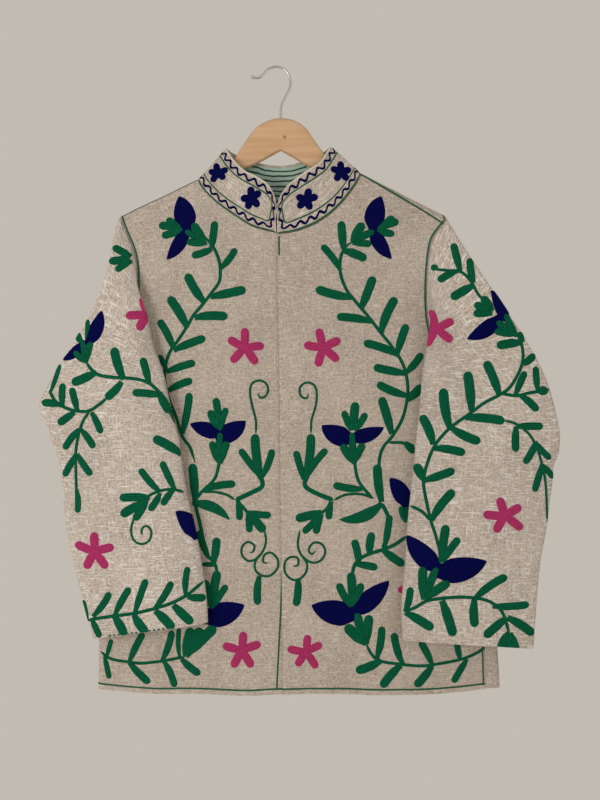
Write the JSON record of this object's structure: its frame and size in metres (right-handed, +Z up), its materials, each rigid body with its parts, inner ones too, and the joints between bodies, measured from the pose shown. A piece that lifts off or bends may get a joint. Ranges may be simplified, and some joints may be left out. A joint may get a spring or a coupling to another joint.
{
  "type": "embroidered jacket on a hanger",
  "caption": "Collared open-front jacket of thick slubby cotton with chain-stitch vines and flowers, hung flat on a wooden hanger with a wire hook.",
  "frame": {"origin": "the hanging point: the top of the inside of the hanger's hook, where it rests on a rod", "axes": "+Z up; -Y the jacket's front, which faces the viewer; +X the viewer's right, the wearer's left"},
  "size_m": [0.7183, 0.0633, 0.8767],
  "materials": {
    "cotton": "slubby handloom cotton",
    "striped_lining": "thin striped cotton",
    "hanger_wood": "clear satin lacquer",
    "hook_wire": "bright"
  },
  "bodies": {
    "root": {"right_front": "cotton", "left_front": "cotton", "back": "cotton", "right_sleeve": "cotton", "left_sleeve": "cotton", "collar": "cotton", "collar_lining": "striped_lining", "back_lining": "striped_lining", "hanger_body": "hanger_wood", "hanger_hook": "hook_wire"}
  },
  "joints": []
}
